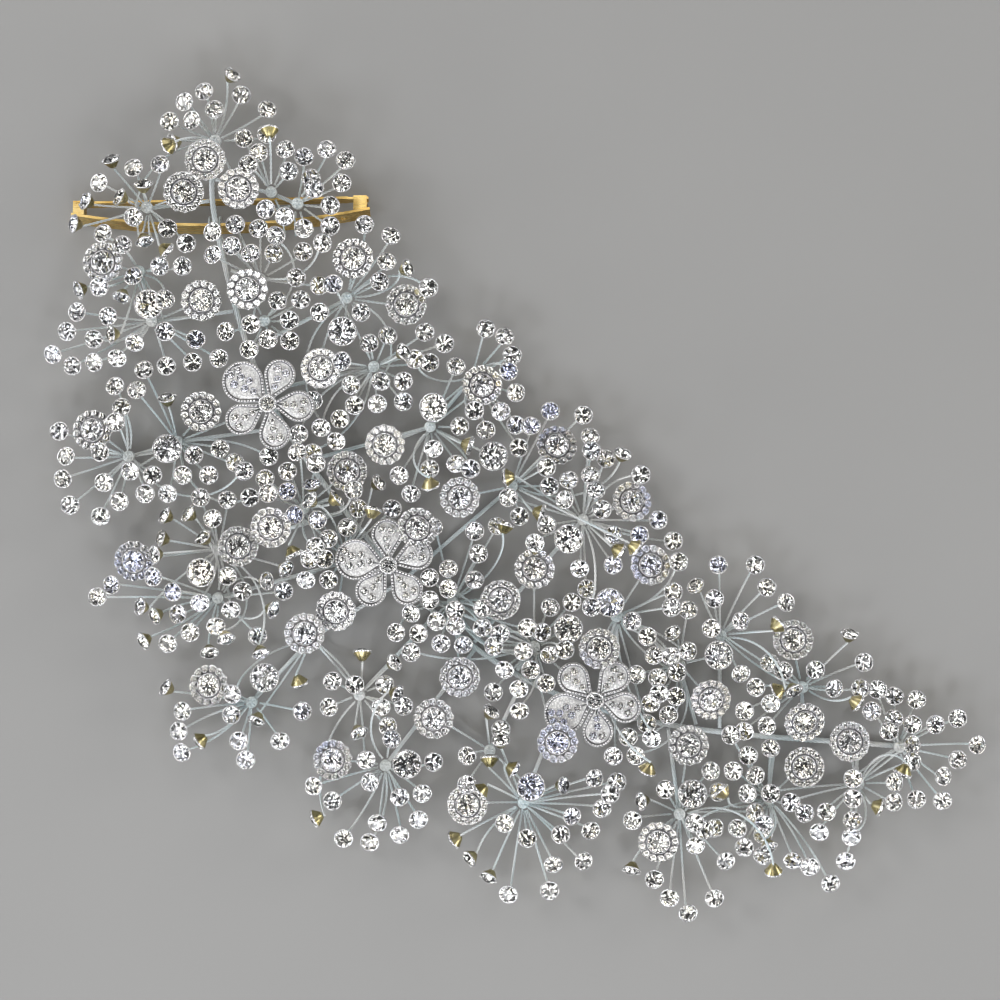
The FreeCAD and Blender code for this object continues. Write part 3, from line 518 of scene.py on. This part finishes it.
def single_cut():
    """A simpler round cut of radius 1, with eight crown and eight pavilion facets."""
    half = math.pi / 8
    rise = DEPTH * (1 / math.cos(half) - 1)
    points = np.concatenate([circle(0.6, TOP, 8, half), circle(1.0, 0.09, 8), circle(1.0, 0.075, 8, half),
                             circle(1.0, 0.0, 8), circle(1.0, rise, 8, half), [[0, 0, -DEPTH]]])
    table, top, top_half, foot, foot_half, culet = 0, 8, 16, 24, 32, 40     # first point of each ring
    glass = [tuple(range(8))]
    foil = []
    for k in range(8):
        n, b = (k + 1) % 8, (k - 1) % 8
        glass.append((table + b, top + k, table + k))
        glass.append((table + k, top + k, top_half + k, top + n))
        glass.append((top + k, foot + k, foot_half + k, top_half + k))
        glass.append((top_half + k, foot_half + k, foot + n, top + n))
        foil.append((culet, foot + n, foot_half + k, foot + k))
    return points, glass + foil, [0] * len(glass) + [1] * len(foil)


def squat_cut():
    """A flat-backed stone's look: the single cut, pressed flatter and raised just above z = 0."""
    points, faces, marks = single_cut()
    points = points * (0.98, 0.98, 0.6)
    points[:, 2] += 0.51
    return points, faces, marks


def stones_piece(name, node, seats, cut, slot_materials, fill=1.0):
    """One cut stone in each seat. A fill over 1 spreads the stone over its collet's lip."""
    builder = Builder()
    points, faces, marks = cut
    points = points * (fill, fill, 1.0)
    for seat in seats:
        builder.add(seat.place(points * seat.radius), faces, marks)
    settle(builder.make(name, slot_materials), "crystal", node)


# ---- rosettes and flowers ----

def rosette(builder, seat):
    """A plate, a claw bezel for the centre stone, and a collet for each stone of the ring.

    Mark 1 is painted shade, on the deck between them and on the lower sides of the ring's collets.
    """
    deck = -0.6 * MM
    r = seat.radius
    depth = DEPTH * r + 0.48 * MM
    turned(builder, seat, [(0.0, -depth), (0.5 * r, -depth), (2.9 * MM, -1.5 * MM), (4.7 * MM, -1.45 * MM),
                           (4.95 * MM, -1.1 * MM), (4.8 * MM, deck)], 40)
    # painted shade on the deck between the ring and the centre bezel
    turned(builder, seat, [(4.8 * MM, deck), (r + 0.35 * MM, deck)], 40, 1)
    turned(builder, seat, [(r + 0.35 * MM, deck), (r + 0.32 * MM, 0.05 * MM), (r + 0.18 * MM, 0.14 * MM),
                           (r + 0.04 * MM, 0.02 * MM), (r + 0.03 * MM, -0.06 * MM),
                           (0.6 * r, -0.46 * r)], 40)
    for k in range(RING_COUNT):
        angle = 2 * math.pi * k / RING_COUNT
        x, y = RING_R * math.cos(angle), RING_R * math.sin(angle)
        s = RING_STONE_R
        here = Seat(seat.place([(x, y, deck)])[0], seat.x, seat.z, s)
        # the collet's lower side takes painted shade (mark 1)
        turned(builder, here, [(s + 0.1 * MM, -0.6 * MM), (s + 0.24 * MM, -0.2 * MM),
                               (s + 0.26 * MM, 0.1 * MM)], 14, 1)
        turned(builder, here, [(s + 0.26 * MM, 0.1 * MM), (s + 0.2 * MM, 0.34 * MM),
                               (s + 0.1 * MM, 0.36 * MM), (s + 0.08 * MM, 0.3 * MM),
                               (0.4 * s, 0.12 * MM)], 14)
        between = angle + math.pi / RING_COUNT
        out = RING_R + 0.66 * MM
        bead(builder, seat, (out * math.cos(between), out * math.sin(between), -0.1 * MM), 0.3 * MM)
    for k in range(6):
        angle = math.pi / 8 + math.pi / 3 * k
        claw(builder, seat, angle, r + 0.12 * MM, r + 0.2 * MM, 0.34 * r, 0.84 * r, 0.2 * MM)


def teardrop(start, length, width, count):
    """Points round a petal's outline in its own plane, X along it, with the outward direction at each."""
    radius = width / 2
    far = length - radius
    half = math.asin(radius / (far - start))
    side = (far - start) * math.cos(half)
    corner = np.array([start + side * math.cos(half), side * math.sin(half)])
    tip = np.array([start, 0.0])
    straight = max(3, int(0.3 * count))
    bend = count - 2 * straight
    points, outs = [], []
    for k in range(straight):
        points.append(tip + (np.array([corner[0], -corner[1]]) - tip) * (k / straight))
        outs.append((-math.sin(half), -math.cos(half)))
    sweep = math.pi + 2 * half
    for k in range(bend):
        angle = -sweep / 2 + sweep * k / (bend - 1)
        points.append(np.array([far + radius * math.cos(angle), radius * math.sin(angle)]))
        outs.append((math.cos(angle), math.sin(angle)))
    for k in range(1, straight):
        points.append(corner + (tip - corner) * (k / straight))
        outs.append((-math.sin(half), math.cos(half)))
    return np.array(points), np.array(outs)


# (inset, height) in mm of the rows from a petal's underside to its groove
PETAL_RIM = ((0.25, -0.5), (0.0, -0.35), (0.0, 0.35), (0.12, 0.55), (0.74, 0.55), (0.98, 0.2))
# (share of the way to the petal's middle line, height in mm) of the rows inside the groove
PETAL_DISH = ((0.14, 0.44), (0.45, 0.5), (0.8, 0.56))
# bands that take painted shade: the rim's top under the milgrain and the slope down into the groove
PAINTED_SHADE_ROWS = (3, 4)
MILGRAIN_R = 0.37 * MM
MILGRAIN_STEP = 0.84 * MM


def petal(builder, seat, bearing, length, width):
    """One petal: a dished, frosted plate (mark 1) inside a groove and a milgrain edge, with painted shade
    (mark 2) on the rim under the beads and on the slope into the groove.
    """
    cos, sin = math.cos(bearing), math.sin(bearing)
    turn = np.array([[cos, sin], [-sin, cos]])
    edge, outs = teardrop(0.6 * MM, length, width, 60)
    spine = np.stack([np.clip(edge[:, 0], 2.0 * MM, length - 0.5 * width), np.zeros(len(edge))], 1)
    rows = []
    for inset, height in PETAL_RIM:
        rows.append((edge - outs * inset * MM, height * MM))
    groove = rows[-1][0]
    for share, height in PETAL_DISH:
        rows.append((groove * (1 - share) + spine * share, height * MM))
    points = []
    for flat, height in rows:
        flat = flat @ turn
        points.extend((x, y, height) for x, y in flat)
    n = len(edge)
    faces, marks = [], []
    for row in range(len(rows) - 1):
        for k in range(n):
            j = (k + 1) % n
            faces.append((row * n + k, row * n + j, (row + 1) * n + j, (row + 1) * n + k))
        marks.extend([2 if row in PAINTED_SHADE_ROWS else 1] * n)
    faces.append(tuple((len(rows) - 1) * n + k for k in range(n)))
    faces.append(tuple(reversed(range(n))))
    builder.add(seat.place(points), faces, marks + [1, 1], True)
    run = run_along(edge)
    for at in np.arange(1.8 * MM, run[-1] - 1.0 * MM, MILGRAIN_STEP):
        k = int(np.searchsorted(run, at)) - 1
        share = (at - run[k]) / (run[k + 1] - run[k])
        spot = edge[k] * (1 - share) + edge[k + 1] * share - outs[k] * 0.42 * MM
        if spot[0] < 2.6 * MM:
            continue
        x, y = spot @ turn
        bead(builder, seat, (x, y, 0.6 * MM), MILGRAIN_R, 7)


FLOWER_REACH = 16 * MM      # farther than a petal's outermost stone
FIRST_PAVE = 5.1 * MM       # nearer than a petal's second stone
LARGE_PETAL = (14.3 * MM, 11.1 * MM)
SMALL_PETAL = (12.5 * MM, 8.4 * MM)


def flower(builder, seat, pave):
    """A cast flower. Its petals' bearings come from the pave stone nearest the middle of each."""
    middle = Seat(seat.centre - seat.z * 1.08 * MM, seat.x, seat.z, seat.radius)
    offsets = [(p, p.centre - middle.centre) for p in pave]
    own = [(p, d) for p, d in offsets if np.linalg.norm(d) < FLOWER_REACH]
    for _, d in own:
        if np.linalg.norm(d[:2]) >= FIRST_PAVE:
            continue
        bearing = math.atan2(d @ middle.y, d @ middle.x)
        count = 0
        for _, e in own:
            angle = math.atan2(e @ middle.y, e @ middle.x) - bearing
            if abs((angle + math.pi) % (2 * math.pi) - math.pi) < 0.45:
                count += 1
        size = LARGE_PETAL if count > 5 else SMALL_PETAL
        petal(builder, middle, bearing, *size)
    r = seat.radius
    turned(builder, middle, [(0.0, -1.45 * MM), (1.3 * MM, -1.45 * MM), (2.45 * MM, -0.5 * MM),
                             (2.45 * MM, 0.9 * MM), (2.25 * MM, 1.2 * MM), (r + 0.06 * MM, 1.15 * MM),
                             (r + 0.04 * MM, 1.0 * MM), (0.4 * r, -0.1 * MM)], 28)
    out = r + 0.25 * MM
    for k in range(6):
        angle = math.pi / 3 * k
        bead(builder, middle, (out * math.cos(angle), out * math.sin(angle), 1.3 * MM), 0.3 * MM)
    for p, _ in own:
        s = p.radius
        # each pave collet takes painted shade (mark 2), a dark ring round its stone
        turned(builder, p, [(s + 0.3 * MM, -0.1 * MM), (s + 0.22 * MM, 0.2 * s), (s + 0.1 * MM, 0.25 * s),
                            (0.4 * s, 0.1 * s)], 14, 2)
        out = s + 0.12 * MM
        for k in range(4):
            angle = math.pi / 4 + math.pi / 2 * k
            bead(builder, p, (out * math.cos(angle), out * math.sin(angle), 0.4 * s), 0.27 * MM, 6)


# ---- barrette ----

def softened(node, name, material, width, slot, body="hairpiece"):
    """A copy of a CAD part with its sharp edges rounded."""
    builder = Builder()
    for points, triangles in solids_of(node):
        builder.add(points, [tuple(t) for t in triangles.tolist()], 0, True)
    piece = builder.make(name, [material])
    steps = (
        ("DECIMATE", {"decimate_type": "DISSOLVE", "angle_limit": 0.03}),
        ("BEVEL", {"width": width, "segments": 3, "limit_method": "ANGLE", "angle_limit": 0.6}),
        ("WEIGHTED_NORMAL", {"keep_sharp": True}),
    )
    for kind, values in steps:
        modifier = piece.modifiers.new(kind.lower(), kind)
        for key, value in values.items():
            setattr(modifier, key, value)
    graph = bpy.context.evaluated_depsgraph_get()
    piece.data = bpy.data.meshes.new_from_object(piece.evaluated_get(graph))
    piece.modifiers.clear()
    settle(piece, slot, node, body=body)


def loop_piece(material):
    """The binding wires: twisted pairs bent round the bar."""
    builder = Builder()
    for points, triangles in solids_of("barrette_binding_wires"):
        middle = (points.min(axis=0) + points.max(axis=0)) / 2
        spread = points - middle
        _, _, axes = np.linalg.svd(spread - spread.mean(axis=0), full_matrices=False)
        u, v = axes[0], axes[1]
        radius = np.abs(spread @ u).max() - LOOP_R
        angle = np.linspace(0, 2 * math.pi, 73)
        path = middle + radius * (np.cos(angle)[:, None] * u + np.sin(angle)[:, None] * v)
        tangents = -np.sin(angle)[:, None] * u + np.cos(angle)[:, None] * v
        strands(builder, path, tangents, LOOP_R, 2, 2 * math.pi * radius / 9, 6)
    settle(builder.make("binding_loops", [material]), "silver_plate", "barrette_binding_wires")


# ---- materials ----

class Nodes:
    """Short names for building a material's node tree."""

    def __init__(self, name):
        self.material = bpy.data.materials.new(name)
        self.material.use_nodes = True
        self.tree = self.material.node_tree
        self.shader = self.tree.nodes["Principled BSDF"]

    def node(self, kind, inputs=(), **settings):
        node = self.tree.nodes.new("ShaderNode" + kind)
        for key, value in settings.items():
            setattr(node, key, value)
        for key, value in dict(inputs).items():
            if isinstance(value, bpy.types.NodeSocket):
                self.tree.links.new(value, node.inputs[key])
            else:
                node.inputs[key].default_value = value
        return node

    def set(self, **values):
        for key, value in values.items():
            socket = self.shader.inputs[key.replace("_", " ")]
            if isinstance(value, bpy.types.NodeSocket):
                self.tree.links.new(value, socket)
            else:
                socket.default_value = value

    def place(self):
        return self.node("TexCoord").outputs["Object"]

    def noise(self, scale, detail=3.0):
        inputs = {"Vector": self.place(), "Scale": scale, "Detail": detail}
        return self.node("TexNoise", inputs).outputs["Fac"]

    def ramp(self, factor, *stops):
        node = self.node("ValToRGB", {"Fac": factor})
        elements = node.color_ramp.elements
        for element, (position, colour) in zip(elements, stops[:2]):
            element.position, element.color = position, (*colour, 1)
        for position, colour in stops[2:]:
            elements.new(position).color = (*colour, 1)
        return node.outputs["Color"]

    def span(self, factor, low, high):
        inputs = {"Value": factor, "To Min": low, "To Max": high}
        return self.node("MapRange", inputs).outputs["Result"]

    def bump(self, height, strength, distance):
        inputs = {"Height": height, "Strength": strength, "Distance": distance}
        return self.node("Bump", inputs).outputs["Normal"]


def metal(name, light, dark, rough, scale, metallic=1.0):
    """A plated metal with patchy tone, uneven polish and a fine grain. A lower metallic looks whiter."""
    m = Nodes(name)
    m.set(Metallic=metallic)
    m.set(Base_Color=m.ramp(m.noise(scale), (0.35, dark), (0.65, light)))
    m.set(Roughness=m.span(m.noise(3 * scale), *rough))
    m.set(Normal=m.bump(m.noise(9000, 2), 0.15, 0.03 * MM))
    return m.material


def glass_material():
    m = Nodes("cut_crystal")
    m.set(IOR=1.62, Transmission_Weight=1.0)
    m.set(Base_Color=m.ramp(m.noise(60, 1), (0.38, (0.97, 0.98, 1.0)), (0.62, (1.0, 1.0, 0.99))))
    m.set(Roughness=m.span(m.noise(400), 0.0, 0.015))
    return m.material


def foil_material():
    m = Nodes("mirror_foil")
    m.set(Metallic=1.0)
    m.set(Base_Color=m.ramp(m.noise(45, 1), (0.3, (0.93, 0.94, 0.97)), (0.6, (0.97, 0.96, 0.93)),
                            (0.72, (0.86, 0.88, 0.98))))
    m.set(Roughness=m.span(m.noise(500), 0.02, 0.06))
    return m.material


def petal_material():
    """Frosted cast silver with a granular floor."""
    m = Nodes("frosted_silver")
    m.set(Metallic=0.4)
    cells = m.node("TexVoronoi", {"Vector": m.place(), "Scale": 1900.0})
    m.set(Base_Color=m.ramp(cells.outputs["Distance"], (0.3, (1.0, 1.0, 1.0)), (0.65, (0.66, 0.66, 0.67))))
    m.set(Roughness=m.span(m.noise(1500), 0.24, 0.4))
    m.set(Normal=m.bump(cells.outputs["Distance"], 0.8, 0.1 * MM))
    return m.material


def gold_material():
    """Brushed gold plate, rubbed darker in patches."""
    m = Nodes("gold_plate")
    m.set(Metallic=1.0)
    stretch = m.node("Mapping", {"Vector": m.place(), "Scale": (30.0, 3000.0, 3000.0)}).outputs["Vector"]
    lines = m.node("TexNoise", {"Vector": stretch, "Scale": 1.0, "Detail": 4.0}).outputs["Fac"]
    m.set(Base_Color=m.ramp(m.noise(220), (0.3, (0.62, 0.4, 0.12)), (0.55, (0.86, 0.62, 0.24)),
                            (0.8, (0.95, 0.76, 0.36))))
    m.set(Roughness=m.span(lines, 0.18, 0.38))
    m.set(Normal=m.bump(lines, 0.25, 0.04 * MM))
    return m.material


# ---- pieces ----

rng = random.Random(SEED)
silver = metal("silver_plate", (0.94, 0.94, 0.95), (0.78, 0.78, 0.8), (0.1, 0.24), 300, metallic=0.8)
wire_silver = metal("wire_silver", (0.98, 0.99, 1.0), (0.84, 0.95, 1.0), (0.16, 0.28), 60, metallic=0.2)
# painted shade: a dark grey metal for decks, grooves and collets, where shade falls between parts
shade_paint = metal("painted_shade_recess", (0.3, 0.3, 0.31), (0.14, 0.14, 0.15), (0.3, 0.45), 400, metallic=0.9)
gilt = metal("gilt_back", (0.66, 0.58, 0.34), (0.34, 0.3, 0.14), (0.2, 0.36), 180)
dark_steel = metal("spring_steel", (0.6, 0.58, 0.52), (0.42, 0.4, 0.36), (0.22, 0.4), 120)
crystal = [glass_material(), foil_material()]       # slots by mark: glass 0, foil 1
frosted = petal_material()
gold = gold_material()

for branch in BRANCHES:
    seats = stone_seats(branch + "_stones")
    stones_piece(branch + "_cut_stones", branch + "_stones", seats, single_cut(), crystal)
    cups = Builder()
    for seat in seats:
        claw_cup(cups, seat)
    settle(cups.make(branch + "_claw_cups", [silver, gilt]), "silver_plate", branch + "_cups")
    twig_piece(branch, wire_silver, rng)

solitaires = stone_seats("solitaire_stones")
stones_piece("solitaire_brilliants", "solitaire_stones", solitaires, brilliant(), crystal)
cups = Builder()
for seat in solitaires:
    claw_cup(cups, seat, 6)
settle(cups.make("solitaire_claw_cups", [silver, gilt]), "silver_plate", "solitaire_cups")

centres = stone_seats("rosette_centre_stones")
stones_piece("rosette_centre_brilliants", "rosette_centre_stones", centres, brilliant(), crystal)
ring_stones = button_seats("rosette_ring_stones")
stones_piece("rosette_ring_crystals", "rosette_ring_stones", ring_stones, squat_cut(), crystal, fill=1.16)
plates = Builder()
for seat in centres:
    rosette(plates, seat)
settle(plates.make("rosette_settings", [silver, shade_paint]), "silver_plate", "rosette_plates")

hearts = stone_seats("flower_centre_stones")
pave = button_seats("flower_pave_stones")
stones_piece("flower_centre_brilliants", "flower_centre_stones", hearts, brilliant(), crystal)
stones_piece("flower_pave_crystals", "flower_pave_stones", pave, squat_cut(), crystal, fill=1.12)
castings = Builder()
for seat in hearts:
    flower(castings, seat, pave)
settle(castings.make("milgrain_flowers", [silver, frosted, shade_paint]), "silver_plate", "flower_castings")

spine_piece(wire_silver)
stem_piece(wire_silver)
collar_piece(wire_silver, rng)
loop_piece(wire_silver)
softened("barrette_top_bar", "gold_bar", gold, 0.12 * MM, "gold_plate")
softened("barrette_arm", "gold_arm", gold, 0.12 * MM, "gold_plate", body="arm")
softened("barrette_hinge_pin", "hinge_rivet", gold, 0.15 * MM, "gold_plate")
softened("barrette_tension_spring", "tension_strip", dark_steel, 0.06 * MM, "spring_steel")


# ---- stage, lights and camera ----

FLOOR_R = 1.25


def floor_piece():
    """A round floor. Low views see its far rim against the pale world."""
    m = Nodes("pale_floor")
    m.set(Base_Color=m.ramp(m.noise(6), (0.3, (0.36, 0.36, 0.36)), (0.7, (0.38, 0.38, 0.38))))
    m.set(Roughness=0.85)
    builder = Builder()
    builder.add(circle(FLOOR_R, 0.0, 64), [tuple(range(64))])
    floor = builder.make("floor", [m.material])


RINGS = ((18, 9, 0.5, 0.42), (42, 9, 0.4, 0.4), (66, 6, 0.34, 0.34))    # degrees up, count, width, height
RADIANCES = (0.3, 2.3, 6.4)
LIGHT_SEED = 5
DIM_WORLD = 0.03            # strength of the world for light and reflections
PALE_WORLD = 0.36           # strength of the world as the camera sees it


def panel(azimuth, elevation, distance, width, height, radiance, colour):
    """A soft box that faces the object, from an azimuth and an elevation in degrees."""
    lamp = bpy.data.lights.new("soft_box", "AREA")
    lamp.shape = "RECTANGLE"
    lamp.size, lamp.size_y = width, height
    lamp.energy = radiance * math.pi * width * height
    lamp.color = colour
    a, e = math.radians(azimuth), math.radians(elevation)
    back = Vector((math.cos(a) * math.cos(e), math.sin(a) * math.cos(e), math.sin(e)))
    holder = bpy.data.objects.new("soft_box", lamp)
    bpy.context.scene.collection.objects.link(holder)
    holder.location = back * distance
    holder.rotation_mode = "QUATERNION"
    holder.rotation_quaternion = back.to_track_quat("Z", "Y")


def studio():
    """Rings of soft boxes with dark gaps between them, so the facets show light and dark.

    The world is dark for the stones and pale behind the floor.
    """
    rng = random.Random(LIGHT_SEED)
    for elevation, count, width, height in RINGS:
        for k in range(count):
            azimuth = 360 / count * (k + rng.uniform(-0.22, 0.22)) + elevation
            warm = rng.uniform(-1, 1)
            colour = (1 + 0.04 * warm, 1.0, 1 - 0.07 * warm)
            height_now = elevation + rng.uniform(-4, 4)
            panel(azimuth, height_now, 1.4, width, height, rng.choice(RADIANCES), colour)
    panel(100, 84, 1.5, 0.24, 0.24, 3.0, (1, 1, 1))
    world = bpy.data.worlds.new("studio")
    bpy.context.scene.world = world
    world.use_nodes = True
    background = world.node_tree.nodes["Background"]
    background.inputs["Color"].default_value = (0.97, 0.98, 1.0, 1)
    light_path = world.node_tree.nodes.new("ShaderNodeLightPath")
    strength = world.node_tree.nodes.new("ShaderNodeMapRange")
    strength.inputs["To Min"].default_value = DIM_WORLD
    strength.inputs["To Max"].default_value = PALE_WORLD
    world.node_tree.links.new(light_path.outputs["Is Camera Ray"], strength.inputs["Value"])
    world.node_tree.links.new(strength.outputs["Result"], background.inputs["Strength"])


VIEW_ACROSS = 267 * MM
STONE_HEIGHT = 9 * MM


def camera():
    """Straight above, framed as in the picture: VIEW_ACROSS wide at the stones' height."""
    lens = bpy.data.cameras.new("camera")
    lens.lens = 100
    lens.sensor_width = 36
    holder = bpy.data.objects.new("camera", lens)
    bpy.context.scene.collection.objects.link(holder)
    low, high = cad_box
    middle = (low + high) / 2
    distance = VIEW_ACROSS * lens.lens / lens.sensor_width
    holder.location = (middle.x - 4.3 * MM, middle.y - 1.3 * MM, STONE_HEIGHT + distance)
    bpy.context.scene.camera = holder


floor_piece()
studio()
camera()

scene = bpy.context.scene
scene.view_settings.view_transform = "Standard"
scene.cycles.use_denoising = True
scene.cycles.max_bounces = 12
scene.cycles.transmission_bounces = 10
scene.cycles.glossy_bounces = 6
scene.cycles.filter_width = 1.1
